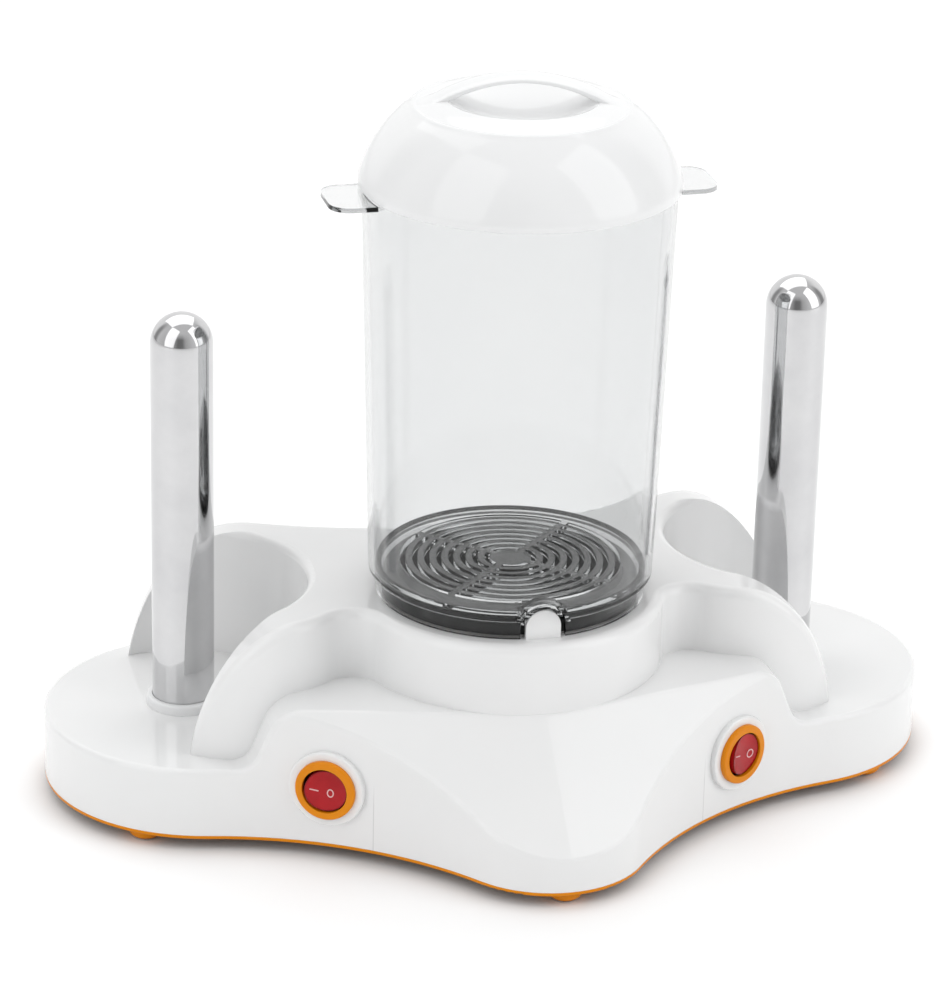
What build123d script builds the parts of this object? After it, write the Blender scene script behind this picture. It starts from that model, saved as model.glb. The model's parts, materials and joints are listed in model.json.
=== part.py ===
from build123d import *
import os
from math import atan2, cos, degrees, radians, sin, tan

# Countertop hot dog machine: a steaming pot on a pedestal between two trays with heated spikes.
# Millimetres. The origin is at the middle of the footprint on the table, +Z up, nose toward -Y.

# Overall footprint
overall_width = 350.0
overall_depth = 196.0
overrun = 1.0

# Heights of the housing, from the table up
foot_height = 4.7
plate_thickness = 1.6
tray_height = 27.0
ledge_height = 26.0
deck_height = 27.4
wall = 2.5

# Footprint: two round lobes and a nose, joined by hollow waists
lobe_radius = 62.8
nose_radius = 38.4
waist_radius = 150.0
back_radius = 190.0

# Shoulder between ledge and tray, seen from the front
shoulder_half_width = 102.0
shoulder_slope = 68.0
shoulder_round = 13.0
shoulder_foot = 10.0

# Sloping front between ledge and nose
front_turn = 14.0
front_fall = 0.93

# Pedestal and the wings that wrap the spikes
pot_setback = 3.8
pedestal_radius = 59.0
neck_radius = 12.0
wing_radius = 43.0
wing_rear_radius = 44.5
wing_front_x = 100.0
wing_front_y = 22.4
wing_rear_x = 109.5
wing_rear_y = 48.8
rear_hollow_radius = 207.5
crown_half_width = 85.5
crown_reach = 43.3
crown_rear_reach = 51.2
crown_sink = 18.0

# Soft edges of the housing
deck_edge = 4.0
well_edge = 3.0
ledge_edge = 3.0
wall_top_edge = 2.0

# Well round each spike
well_radius = 48.0
well_offset = 8.8
well_setback = 1.6

# Locating tab on the pedestal
tab_width = 13.4
tab_height = 11.5
tab_thickness = 2.2

# Feet and fasteners of the bottom plate
foot_radius = 6.8
foot_edge = 3.8
foot_margin = 9.0
foot_bearing = 54.4
stud_radius = 2.5
fit = 0.1
screw_radius = 1.6
screw_length = 14.0
screw_head_radius = 3.2
screw_head_height = 1.5
screw_head_recess = 0.6
boss_radius = 4.0
boss_circle = 40.0
nose_boss_setback = 10.0
plate_rim_height = 4.0
plate_rim_thickness = 1.8
plate_rim_gap = 0.3
plate_edge = 0.8
vent_length = 34.0
vent_width = 3.0
vent_pitch = 8.0
vent_count = 6

# Heating bowl under the pot
bowl_radius = 45.0
bowl_wall = 1.6
bowl_depth = 34.0
bowl_corner = 8.0
bowl_rim_radius = 48.8
bowl_rim_height = 6.4
bowl_edge = 0.8
bowl_hole_gap = 0.6
seal_thickness = 0.8
seal_width = 2.6
heater_outer_radius = 36.0
heater_inner_radius = 13.0
heater_thickness = 5.0
heater_blade_circle = 30.0
heater_blade_bearing_step = 30.0
blade_width = 6.3
blade_thickness = 0.8
blade_length = 8.0
clamp_thickness = 1.5
clamp_hub_radius = 20.0
clamp_arm_width = 9.0
clamp_pad_radius = 5.5
post_radius = 3.6
post_circle = 51.2
post_count = 3
post_bearing = 30.0
clamp_screw_length = 9.0
thermostat_radius = 8.0
thermostat_height = 9.0
fuse_radius = 2.0
fuse_length = 12.0
fuse_offset = 28.0

# Pot: clear container with a skirt that stands on the pedestal
pot_height = 163.4
skirt_radius = 51.6
skirt_height = 7.2
pot_foot_radius = 54.3
pot_rim_radius = 58.7
pot_wall = 2.2
skirt_corner = 0.6
shoulder_edge = 2.0
seat_gap = 0.2
notch_gap = 1.9
hood_wall = 1.5
hood_proud = 0.6
grip_reach = 15.0
grip_half_width = 14.4
grip_thickness = 1.8
grip_corner = 8.0
grip_drop = 3.75

# Slotted floor of the pot
grate_thickness = 2.4
grate_gap = 0.3
slot_rings = 8
slot_first_radius = 9.0
slot_pitch = 4.6
slot_width = 2.1
slot_bridges = 2
slot_bridge = 3.0
slot_turn = 45.0

# Lid with a thin strap over a dished top
lid_gap = 0.2
lid_wall = 1.6
lid_overlap = 2.4
lid_height = 43.6
lid_band_height = 3.0
lid_step_width = 2.0
crease_radius = 41.0
crease_drop = 13.2
crease_edge = 1.0
lid_bulge = 2.8
dish_radius = 28.7
dish_rise = 2.8
dish_depth = 8.0
dish_edge = 1.5
bridge_width = 13.0
bridge_thickness = 2.2
bridge_radius = 65.0
bridge_root = 1.0
bridge_edge = 0.8

# Spikes
spike_radius = 12.0
spike_wall = 1.5
spike_length = 160.0
spike_flange_radius = 15.0
spike_flange_thickness = 2.0
collar_radius = 14.2
collar_height = 4.0
collar_edge = 1.0
rod_radius = 6.0
rod_length = 130.0
rod_cap_radius = 9.0
rod_cap_height = 4.0
retainer_radius = 24.0
retainer_bore = 7.0
retainer_thickness = 2.0
retainer_screw_circle = 20.0
retainer_screw_count = 3
retainer_screw_length = 4.0
retainer_boss_radius = 3.2

# Rocker switches on the waists
switch_height = 23.3
switch_share = 0.41
switch_toe = 4.0
pad_radius = 15.0
pad_proud = 1.9
pad_edge = 0.7
bezel_radius = 11.8
bezel_proud = 2.0
bezel_edge = 0.8
barrel_radius = 10.0
barrel_bore = 8.9
barrel_depth = 14.0
barrel_floor = 1.6
rocker_radius = 8.2
rocker_proud = 2.2
rocker_depth = 5.5
rocker_dish = 34.0
rocker_tilt = 7.0
pivot_radius = 1.2
pivot_depth = 2.6
pivot_fit = 0.05
pivot_end_gap = 0.3
switch_blade_spacing = 6.0

# Inlet and terminals at the back
grommet_height = 13.0
grommet_radius = 6.0
grommet_flange_radius = 8.5
grommet_flange = 2.0
grommet_bore = 3.6
grommet_inner_flange_radius = 7.6
terminal_length = 30.0
terminal_width = 16.0
terminal_height = 11.0
terminal_gap = 8.0
terminal_ways = 3
terminal_screw_radius = 2.4
terminal_screw_depth = 5.5

# Levels
shell_z = foot_height + plate_thickness
rim_z = shell_z + tray_height
ledge_z = rim_z + ledge_height
deck_z = ledge_z + deck_height
tray_under_z = rim_z - wall
flange_z = tray_under_z - spike_flange_thickness
retainer_z = flange_z - retainer_thickness
plate_screw_z = foot_height + screw_head_recess
bowl_top_z = deck_z + bowl_rim_height
bowl_floor_z = bowl_top_z - bowl_depth
bowl_bottom_z = bowl_floor_z - bowl_wall
clamp_z = bowl_bottom_z - heater_thickness
pot_z = deck_z + seat_gap
pot_top_z = pot_z + pot_height
skirt_top_z = pot_z + skirt_height
shelf_z = skirt_top_z + pot_wall
grip_top_z = pot_top_z - grip_drop
lid_z = pot_top_z - lid_overlap
lid_step_z = pot_top_z + seat_gap
lid_top_z = lid_z + lid_height
crease_z = lid_top_z - crease_drop
dish_edge_z = crease_z + dish_rise
dish_z = dish_edge_z - dish_depth

# Plan positions
lobe_x = overall_width / 2 - lobe_radius
lobe_y = overall_depth / 2 - lobe_radius
lobe = Vector(lobe_x, lobe_y)
nose = Vector(0, nose_radius - overall_depth / 2)
pot = Vector(0, pot_setback)
well = Vector(lobe_x + well_offset, lobe_y + well_setback)
wing_front = Vector(wing_front_x, wing_front_y)
wing_rear = Vector(wing_rear_x, wing_rear_y)


def touching(first, first_reach, second, second_reach):
    """Point at the given reach from two centres, on the right going from the first to the second."""
    way = second - first
    along = (first_reach**2 - second_reach**2 + way.length**2) / (2 * way.length)
    aside = (first_reach**2 - along**2) ** 0.5
    unit = way.normalized()
    return first + unit * along + Vector(unit.Y, -unit.X) * aside


def on_circle(center, radius, target):
    """Point of a circle in the direction of the target."""
    return center + (target - center).normalized() * radius


def arc(center, radius, start, end):
    """The shorter arc of a circle from start to end."""
    middle = center + ((start - center) + (end - center)).normalized() * radius
    return ThreePointArc(start, middle, end)


def bowed(start, end, bulge):
    """Arc from start to end that bows to the right by the bulge."""
    way = end - start
    middle = (start + end) / 2 + Vector(way.Y, -way.X).normalized() * bulge
    return ThreePointArc(start, middle, end)


def mirrored_face(edges):
    """Face bounded by a right-hand outline and its mirror image."""
    other = [mirror(edge, Plane.YZ) for edge in edges]
    return make_face(edges + other)


def both_sides(shape):
    """A right-hand piece with its mirror image, as separate solids."""
    return Compound(children=[shape, mirror(shape, Plane.YZ)])


def prism(face, bottom, top):
    """Upright solid on a plan face."""
    return extrude(Pos(0, 0, bottom) * face, amount=top - bottom)


def disc(center, radius, bottom, top):
    """Upright cylinder between two levels."""
    return prism(Pos(center.X, center.Y) * Circle(radius), bottom, top)


def ring(center, outer, inner, bottom, top):
    """Upright ring between two levels."""
    return prism(Pos(center.X, center.Y) * (Circle(outer) - Circle(inner)), bottom, top)


def rod(radius, start, end):
    """Cylinder along local Z between two places."""
    return Pos(0, 0, start) * Cylinder(radius, end - start, align=(Align.CENTER, Align.CENTER, Align.MIN))


def turned(section, center):
    """Solid of revolution about an upright axis; the section lies in radius and height."""
    return Pos(center.X, center.Y) * revolve(Plane.XZ * section, Axis.Z)


def bearing_point(center, radius, bearing):
    """Point at a bearing in degrees from +X."""
    return center + Vector(cos(radians(bearing)), sin(radians(bearing))) * radius


waist = touching(nose, nose_radius + waist_radius, lobe, lobe_radius + waist_radius)
back_rise = ((lobe_radius + back_radius) ** 2 - lobe_x**2) ** 0.5
back = Vector(0, lobe_y + back_rise)
neck = touching(pot, pedestal_radius + neck_radius, wing_front, wing_radius + neck_radius)
hollow_rise = ((wing_rear_radius + rear_hollow_radius) ** 2 - wing_rear_x**2) ** 0.5
hollow = Vector(0, wing_rear_y + hollow_rise)
back_middle = back - Vector(0, back_radius)
inlet_plane = Plane(back_middle + Vector(0, 0, shell_z + grommet_height), x_dir=(-1, 0, 0), z_dir=(0, 1, 0))


def outline(inset):
    """Footprint of the housing, moved in by the inset."""
    lobe_r = lobe_radius - inset
    nose_r = nose_radius - inset
    waist_r = waist_radius + inset
    back_r = back_radius + inset
    tip = nose - Vector(0, nose_r)
    nose_end = on_circle(nose, nose_r, waist)
    lobe_start = on_circle(lobe, lobe_r, waist)
    side = lobe + Vector(lobe_r, 0)
    lobe_end = on_circle(lobe, lobe_r, back)
    return mirrored_face([
        arc(nose, nose_r, tip, nose_end),
        arc(waist, waist_r, nose_end, lobe_start),
        arc(lobe, lobe_r, lobe_start, side),
        arc(lobe, lobe_r, side, lobe_end),
        arc(back, back_r, lobe_end, back - Vector(0, back_r)),
    ])


def deck_plan(inset):
    """Plan of the pedestal and wings, moved in by the inset."""
    pedestal_r = pedestal_radius - inset
    neck_r = neck_radius + inset
    wing_r = wing_radius - inset
    rear_r = wing_rear_radius - inset
    hollow_r = rear_hollow_radius + inset
    front = pot - Vector(0, pedestal_r)
    pedestal_end = on_circle(pot, pedestal_r, neck)
    wing_start = on_circle(wing_front, wing_r, neck)
    front_side = wing_front + Vector(wing_r, 0)
    rear_side = wing_rear + Vector(rear_r, 0)
    wing_end = on_circle(wing_rear, rear_r, hollow)
    return mirrored_face([
        arc(pot, pedestal_r, front, pedestal_end),
        arc(neck, neck_r, pedestal_end, wing_start),
        arc(wing_front, wing_r, wing_start, front_side),
        Line(front_side, rear_side),
        arc(wing_rear, rear_r, rear_side, wing_end),
        arc(hollow, hollow_r, wing_end, hollow - Vector(0, hollow_r)),
    ])


def across(edges):
    """Solid with a front-view section, deeper than the housing."""
    section = Plane.XZ * mirrored_face(edges)
    return extrude(section, amount=overall_depth, both=True)


def lower_form(inset, floor, rim):
    """Trays, shoulders and sloping front, moved in by the inset."""
    top = ledge_z - inset
    middle = (ledge_z + rim_z) / 2
    run = 1 / tan(radians(shoulder_slope))
    edge_x = shoulder_half_width - inset / sin(radians(shoulder_slope))
    far = overall_width
    shoulder = FilletPolyline(
        (0, top),
        (edge_x + (middle - top) * run, top),
        (edge_x + (middle - rim) * run, rim),
        (far, rim),
        radius=[shoulder_round - inset, shoulder_foot + inset],
    )
    sides = Polyline((far, rim), (far, floor), (0, floor))
    body = prism(outline(inset), floor, top) & across(shoulder.edges() + sides.edges())
    return body & front_form(inset, floor)


def front_form(inset, floor):
    """Everything behind the slope that falls from the ledge to the nose."""
    levels = []
    turn = radians(front_turn)
    for level in (floor, ledge_z - inset):
        reach = pedestal_radius - inset + (ledge_z - inset - level) / front_fall
        front = pot - Vector(0, reach)
        bend = pot + Vector(sin(turn), -cos(turn)) * reach
        end = bend + Vector(cos(turn), sin(turn)) * (overall_width / cos(turn))
        corner = Vector(end.X, overall_depth)
        middle = Vector(0, overall_depth)
        sides = [Line(bend, end), Line(end, corner), Line(corner, middle)]
        levels.append(Pos(0, 0, level) * mirrored_face([arc(pot, reach, front, bend)] + sides))
    return loft(levels, ruled=True)


def upper_form(inset, floor, full_reach):
    """Pedestal and wings that fall to the tray over the given reach, moved in by the inset."""
    top = deck_z - inset
    reach = full_reach - inset
    crown = Line((0, top), (crown_half_width, top))
    foot = rim_z - crown_sink
    fall = EllipticalCenterArc((crown_half_width, foot), reach, top - foot)
    outer = crown_half_width + reach
    sides = Polyline((outer, foot), (outer, floor), (0, floor))
    return prism(deck_plan(inset), floor, top) & across([crown, fall] + sides.edges())


def is_upright(edge):
    """True for a straight vertical edge."""
    return abs(edge.tangent_at(0.5).Z) > cos(radians(1))


def top_of(edge):
    """Highest point of an edge."""
    return max(edge.position_at(0).Z, edge.position_at(0.5).Z, edge.position_at(1).Z)


def soft_lower():
    """Lower form with a soft ledge and soft wall tops."""
    form = lower_form(0, shell_z, rim_z)
    rim = outline(0).wire()

    def on_wall(edge):
        middle = edge.position_at(0.5)
        return rim.distance_to(Vector(middle.X, middle.Y)) < fit

    def on_ledge(edge):
        middle = edge.position_at(0.5)
        flat = abs(middle.Z - ledge_z) < ledge_edge / 2 and abs(edge.tangent_at(0.5).X) > 0.5
        return flat and middle.Y < pot.Y and not on_wall(edge)

    form = fillet(form.edges().filter_by(on_ledge), ledge_edge)
    raised = form.edges().filter_by(lambda edge: top_of(edge) > shell_z + fit)
    return fillet(raised.filter_by(lambda edge: on_wall(edge) and not is_upright(edge)), wall_top_edge)


def behind(distance):
    """Everything behind a line across the machine, up to the deck and a little over it."""
    length = overall_depth
    block = Pos(0, distance + length / 2) * Rectangle(overall_width, length)
    return prism(block, shell_z - overrun, deck_z + overrun)


def front_and_rear(front, rear):
    """One form before the middle of the wells, another behind it."""
    rear_half = behind(well.Y)
    return (front - rear_half) + (rear & rear_half)


def soft_upper(full_reach):
    """Pedestal and wings with soft upper edges."""
    form = upper_form(0, shell_z, full_reach)
    side = crown_half_width + full_reach

    def is_soft(edge):
        if top_of(edge) < shell_z + fit or abs(edge.tangent_at(0.5).Y) > cos(radians(1)):
            return False
        return not is_upright(edge) or abs(abs(edge.position_at(0.5).X) - side) < fit

    return fillet(form.edges().filter_by(is_soft), deck_edge)


def well_cuts():
    """Both wells, with a rounded edge where they open through the deck."""
    middle = (well_radius + well_edge / 2, deck_z - well_edge / 2)
    corner = Pos(*middle) * Rectangle(well_edge, well_edge)
    corner = corner - Pos(well_radius + well_edge, deck_z - well_edge) * Circle(well_edge)
    centers = (well, Vector(-well.X, well.Y))
    return [disc(center, well_radius, rim_z, deck_z + overrun) + turned(corner, center) for center in centers]


def arched(half_width, spring, foot):
    """Front view of an upright strip with a round top, in X and Z."""
    strip = Pos(0, (spring + foot) / 2) * Rectangle(2 * half_width, spring - foot)
    return Plane.XZ * (strip + Pos(0, spring) * Circle(half_width))


def in_front(face, near, far):
    """Solid with a front view, between two distances in front of the pot's axis."""
    return extrude(Pos(0, pot.Y - near, 0) * face, amount=far - near)


def locating_tab():
    """Tab on the pedestal, in line with the pot's skirt."""
    spring = deck_z + tab_height - tab_width / 2
    back_reach = skirt_radius - pot_wall
    return in_front(arched(tab_width / 2, spring, deck_z - overrun), back_reach, back_reach + tab_thickness)


def turned_out(center, target):
    """Angle between straight ahead and the way to a point, in degrees."""
    way = target - center
    return degrees(atan2(way.X, -way.Y))


def switch_place(side):
    """Frame on a waist: +Z out of the wall, +Y up, +X to the right of someone facing it."""
    lobe_end = turned_out(lobe, waist)
    nose_end = turned_out(nose, waist)
    seat_turn = radians(lobe_end + (nose_end - lobe_end) * switch_share)
    seat_out = Vector(sin(seat_turn), -cos(seat_turn))
    face = waist - seat_out * (waist_radius - pad_proud)
    origin = Vector(face.X * side, face.Y, shell_z + switch_height)
    turn = seat_turn + radians(switch_toe)
    out = Vector(sin(turn) * side, -cos(turn))
    return Plane(origin, x_dir=Vector(-out.Y, out.X), z_dir=out)


def foot_places():
    """Feet: one under the nose and two under each lobe."""
    places = [nose - Vector(0, nose_radius - foot_margin)]
    for bearing in (-foot_bearing, foot_bearing):
        spot = bearing_point(lobe, lobe_radius - foot_margin, bearing)
        places += [spot, Vector(-spot.X, spot.Y)]
    return places


def screw_places():
    """Screws of the bottom plate: one at the nose and two under each lobe."""
    places = [nose - Vector(0, nose_boss_setback)]
    for reach in (-boss_circle, boss_circle):
        places += [Vector(lobe.X, lobe.Y + reach), Vector(-lobe.X, lobe.Y + reach)]
    return places


def post_places():
    """Posts that hang from the deck round the bowl."""
    return [bearing_point(pot, post_circle, arm_bearing(n)) for n in range(post_count)]


def arm_bearing(n):
    """Bearing of a post, or between two posts for a number and a half."""
    return post_bearing + 360 / post_count * n


def retainer_places():
    """Screws of the right-hand spike's retainer."""
    count = retainer_screw_count
    return [bearing_point(well, retainer_screw_circle, 360 / count * n) for n in range(count)]


def screw(place, seat_z, length):
    """Screw driven upward: head below its seat, shank above."""
    return disc(place, screw_head_radius, seat_z - screw_head_height, seat_z) + disc(
        place, screw_radius, seat_z, seat_z + length
    )


def bosses():
    """Bosses for the plate's screws, posts for the clamp and pads for the retainers."""
    inside = lower_form(wall / 2, shell_z, rim_z - wall / 2)
    columns = [disc(place, boss_radius, shell_z, ledge_z) & inside for place in screw_places()]
    posts = [disc(place, post_radius, clamp_z, deck_z - wall / 2) for place in post_places()]
    pads = [disc(place, retainer_boss_radius, flange_z, rim_z - wall / 2) for place in retainer_places()]
    return columns + posts + [both_sides(pad) for pad in pads]


def base_shell():
    """White housing, open below."""
    cores = both_sides(disc(well, well_radius + wall, tray_under_z, deck_z))
    low = shell_z - overrun
    hollow_top = front_and_rear(upper_form(wall, low, crown_reach), upper_form(wall, low, crown_rear_reach))
    cavity = lower_form(wall, low, tray_under_z) + hollow_top - cores
    top = front_and_rear(soft_upper(crown_reach), soft_upper(crown_rear_reach))
    shell = soft_lower() + top - well_cuts() - cavity
    shell = shell + bosses() + locating_tab()
    for side in (-1, 1):
        pad = fillet(rod(pad_radius, -wall - pad_proud, 0).edges().group_by(Axis.Z)[-1], pad_edge)
        shell = shell + switch_place(side) * pad
        shell = shell - switch_place(side) * rod(barrel_radius + fit, -barrel_depth, overrun)
    shell = shell - disc(pot, bowl_radius + bowl_hole_gap, deck_z - wall - overrun, deck_z + overrun)
    shell = shell - both_sides(disc(well, spike_radius + fit, tray_under_z - overrun, rim_z + overrun))
    shell = shell - inlet_plane * rod(grommet_radius + fit, -wall - overrun, overrun)
    shell = shell - inlet_plane * rod(grommet_flange_radius + fit, 0, grommet_flange)
    bores = [disc(place, screw_radius + fit, shell_z - overrun, plate_screw_z + screw_length + fit)
             for place in screw_places()]
    bores += [disc(place, screw_radius + fit, clamp_z - overrun, clamp_z + clamp_screw_length + fit)
              for place in post_places()]
    bores += [both_sides(disc(place, screw_radius + fit, flange_z - overrun,
                              retainer_z + retainer_screw_length + fit))
              for place in retainer_places()]
    return shell - bores


def bottom_plate():
    """Orange plate with feet holes, screw seats, vents and a locating rim."""
    plate = prism(outline(0), foot_height, shell_z)
    plate = fillet(plate.edges().group_by(Axis.Z)[0], plate_edge)
    rim_inset = wall + plate_rim_gap
    rim_face = outline(rim_inset) - outline(rim_inset + plate_rim_thickness)
    plate = plate + prism(rim_face, shell_z, shell_z + plate_rim_height)
    cuts = [disc(place, stud_radius + fit, foot_height - overrun, shell_z + overrun) for place in foot_places()]
    for place in screw_places():
        cuts.append(disc(place, screw_head_radius + fit, foot_height - overrun, plate_screw_z))
        cuts.append(disc(place, screw_radius + fit, foot_height, shell_z + overrun))
    for n in range(vent_count):
        row = pot.Y + vent_pitch * (n - (vent_count - 1) / 2)
        slot = Pos(0, row) * SlotOverall(vent_length, vent_width)
        cuts.append(prism(slot, foot_height - overrun, shell_z + overrun))
    return plate - cuts


def feet():
    """Round feet with studs through the plate."""
    pads = []
    for place in foot_places():
        pad = disc(place, foot_radius, 0, foot_height)
        pad = fillet(pad.edges().group_by(Axis.Z)[0], foot_edge)
        pads.append(pad + disc(place, stud_radius, foot_height, shell_z))
    return Compound(children=pads)


def plate_screws():
    """Screws that close the bottom plate."""
    return Compound(children=[screw(place, plate_screw_z, screw_length) for place in screw_places()])


def heating_bowl():
    """Water bowl with a turned-down rim."""
    cup = disc(pot, bowl_radius, bowl_bottom_z, bowl_top_z)
    cup = fillet(cup.edges().group_by(Axis.Z)[0], bowl_corner)
    rim = disc(pot, bowl_rim_radius, deck_z + seal_thickness, bowl_top_z)
    rim = fillet(rim.edges().group_by(Axis.Z)[-1], bowl_edge)
    rim = rim - disc(pot, bowl_rim_radius - bowl_wall, deck_z, bowl_top_z - bowl_wall)
    water = disc(pot, bowl_radius - bowl_wall, bowl_floor_z, bowl_top_z + overrun)
    water = fillet(water.edges().group_by(Axis.Z)[0], bowl_corner - bowl_wall)
    return cup + rim - water


def bowl_seal():
    """Ring between the bowl's rim and the deck."""
    return ring(pot, bowl_rim_radius, bowl_rim_radius - seal_width, deck_z, deck_z + seal_thickness)


def blade(place, bearing, top, length):
    """Flat terminal that hangs below a level."""
    face = Pos(place.X, place.Y) * Rot(0, 0, bearing) * Rectangle(blade_width, blade_thickness)
    return prism(face, top - length, top)


def steam_heater():
    """Ring heater under the bowl with two terminals."""
    body = ring(pot, heater_outer_radius, heater_inner_radius, clamp_z, bowl_bottom_z)
    for turn in (-1, 1):
        bearing = 90 + turn * heater_blade_bearing_step / 2
        place = bearing_point(pot, heater_blade_circle, bearing)
        body = body + blade(place, bearing + 90, clamp_z, blade_length)
    return body


def heater_clamp():
    """Spider that holds heater and bowl up to the posts."""
    low = clamp_z - clamp_thickness
    spider = disc(pot, clamp_hub_radius, low, clamp_z)
    for n, place in enumerate(post_places()):
        arm = Pos(pot.X, pot.Y) * Rot(0, 0, arm_bearing(n)) * Pos(post_circle / 2, 0)
        spider = spider + prism(arm * Rectangle(post_circle, clamp_arm_width), low, clamp_z)
        spider = spider + disc(place, clamp_pad_radius, low, clamp_z)
    cuts = [disc(place, screw_radius + fit, low - overrun, clamp_z + overrun) for place in post_places()]
    return spider - cuts - disc(pot, thermostat_radius + fit, low - overrun, clamp_z + overrun)


def clamp_screws():
    """Screws of the spider."""
    seat = clamp_z - clamp_thickness
    return Compound(children=[screw(place, seat, clamp_screw_length) for place in post_places()])


def thermostat():
    """Disc thermostat against the bowl's bottom."""
    low = bowl_bottom_z - thermostat_height
    body = disc(pot, thermostat_radius, low, bowl_bottom_z)
    for side in (-1, 1):
        body = body + blade(pot + Vector(side * thermostat_radius / 2, 0), 90, low, blade_length)
    return body


def thermal_fuse():
    """Fuse that lies against the heater between two arms of the spider."""
    bearing = arm_bearing(1 + 1 / 2)
    place = bearing_point(pot, fuse_offset, bearing)
    turn = Pos(place.X, place.Y, clamp_z - fuse_radius) * Rot(0, 0, bearing)
    return turn * Rot(90, 0, 0) * Cylinder(fuse_radius, fuse_length)


def pot_radius(level):
    """Outer radius of the pot's wall at a level above the skirt."""
    share = (level - skirt_top_z) / (pot_top_z - skirt_top_z)
    return pot_foot_radius + (pot_rim_radius - pot_foot_radius) * share


def hood_front(grow):
    """Front view of the pocket over the tab."""
    spring = deck_z + tab_height - tab_width / 2
    return arched(tab_width / 2 + notch_gap + grow, spring, pot_z - overrun)


def container():
    """Clear pot with a stepped skirt, a hooded notch and two grips."""
    outer = FilletPolyline(
        (skirt_radius, pot_z),
        (skirt_radius, skirt_top_z),
        (pot_foot_radius, skirt_top_z),
        (pot_rim_radius, pot_top_z),
        radius=[skirt_corner, shoulder_edge],
    )
    rest = Polyline(
        (pot_rim_radius, pot_top_z),
        (pot_rim_radius - pot_wall, pot_top_z),
        (pot_foot_radius - pot_wall, shelf_z),
        (skirt_radius - pot_wall, shelf_z),
        (skirt_radius - pot_wall, pot_z),
        (skirt_radius, pot_z),
    )
    hood_back = skirt_radius - pot_wall - notch_gap
    top = deck_z + tab_height + notch_gap + hood_wall
    hood = in_front(hood_front(hood_wall), hood_back - hood_wall, pot_rim_radius)
    hood = hood & disc(pot, pot_radius(top) + hood_proud, skirt_top_z, top)
    body = turned(make_face(outer.edges() + rest.edges()), pot) + hood
    body = body - in_front(hood_front(0), hood_back, pot_rim_radius)
    return body + grips()


def grips():
    """Two thin grip tabs with rounded corners."""
    wall_r = pot_radius(grip_top_z) - pot_wall / 2
    low = grip_top_z - grip_thickness
    reach = pot_rim_radius + grip_reach
    outline_face = RectangleRounded(2 * reach, 2 * grip_half_width, grip_corner)
    plate = prism(Pos(pot.X, pot.Y) * outline_face, low, grip_top_z)
    return plate - disc(pot, wall_r, low - overrun, grip_top_z + overrun)


def container_floor():
    """Clear slotted floor that rests on the pot's shelf."""
    top = shelf_z + grate_thickness
    body = disc(pot, pot_foot_radius - pot_wall - grate_gap, shelf_z, top)
    hood_back = skirt_radius - pot_wall - notch_gap - hood_wall - grate_gap
    body = body - in_front(hood_front(hood_wall + grate_gap), hood_back, pot_rim_radius)
    bands = []
    for n in range(slot_rings):
        radius = slot_first_radius + n * slot_pitch
        bands.append(Circle(radius + slot_width / 2) - Circle(radius - slot_width / 2))
    slots = Sketch() + bands
    for m in range(slot_bridges):
        bridge_bar = Rectangle(2 * pot_foot_radius, slot_bridge)
        slots = slots - Rot(0, 0, slot_turn + 180 / slot_bridges * m) * bridge_bar
    return body - prism(Pos(pot.X, pot.Y) * slots, shelf_z - overrun, top + overrun)


def lid():
    """White dome with a dished top and a strap handle."""
    rim_r = pot_rim_radius + lid_gap + lid_wall
    band_z = lid_z + lid_band_height
    inner = dome(rim_r, lid_step_z, band_z, lid_wall)
    body = soft_dome(rim_r, band_z) + bridge() - inner
    body = body - disc(pot, rim_r - lid_wall, lid_z - overrun, lid_step_z)
    step_inner = rim_r - lid_wall - lid_step_width
    return body + ring(pot, rim_r - lid_wall / 2, step_inner, lid_step_z, lid_step_z + lid_step_width)


def dome(rim_r, bottom, band_z, inset):
    """Solid dome with a raised brim round a dish, moved in by the inset."""
    start = Vector(rim_r - inset, band_z)
    crease = Vector(crease_radius - inset / 2, crease_z - inset)
    brim = Vector(dish_radius - inset / 2, dish_edge_z - inset)
    section = make_face([
        Line((0, bottom), (start.X, bottom)),
        Line((start.X, bottom), start),
        bowed(start, crease, lid_bulge),
        Line(crease, brim),
        Line(brim, (0, brim.Y)),
        Line((0, brim.Y), (0, bottom)),
    ])
    ball_r = (dish_radius**2 + dish_depth**2) / (2 * dish_depth)
    return turned(section, pot) - Pos(pot.X, pot.Y, dish_z + ball_r) * Sphere(ball_r + inset)


def soft_dome(rim_r, band_z):
    """The outside of the lid with a soft crease and a soft dish edge."""
    body = dome(rim_r, lid_z, band_z, 0)
    rounds = ((crease_radius, crease_edge), (dish_radius, dish_edge))
    for radius, softness in rounds:
        circles = body.edges().filter_by(GeomType.CIRCLE)
        body = fillet(circles.filter_by(lambda edge: abs(edge.radius - radius) < fit), softness)
    return body


def bridge():
    """Thin arched strap over the dish, rooted in the brim."""
    center = lid_top_z - bridge_radius
    strap = Circle(bridge_radius) - Circle(bridge_radius - bridge_thickness)
    foot = crease_z - bridge_root
    window = Pos(0, (foot + lid_top_z) / 2) * Rectangle(2 * bridge_radius, lid_top_z - foot)
    face = Plane.XZ * (Pos(0, center) * strap & window)
    solid = extrude(Pos(0, pot.Y, 0) * face, amount=bridge_width / 2, both=True)
    long_edges = solid.edges().filter_by(GeomType.CIRCLE)
    return fillet(long_edges, bridge_edge)


def spike():
    """Closed metal tube with a round tip and a flange under the tray."""
    tip_z = rim_z + spike_length
    outer = round_rod(spike_radius, flange_z, tip_z)
    inner = round_rod(spike_radius - spike_wall, flange_z - overrun, tip_z - spike_wall)
    flange = ring(well, spike_flange_radius, spike_radius - spike_wall / 2, flange_z, tray_under_z)
    return outer - inner + flange


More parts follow.
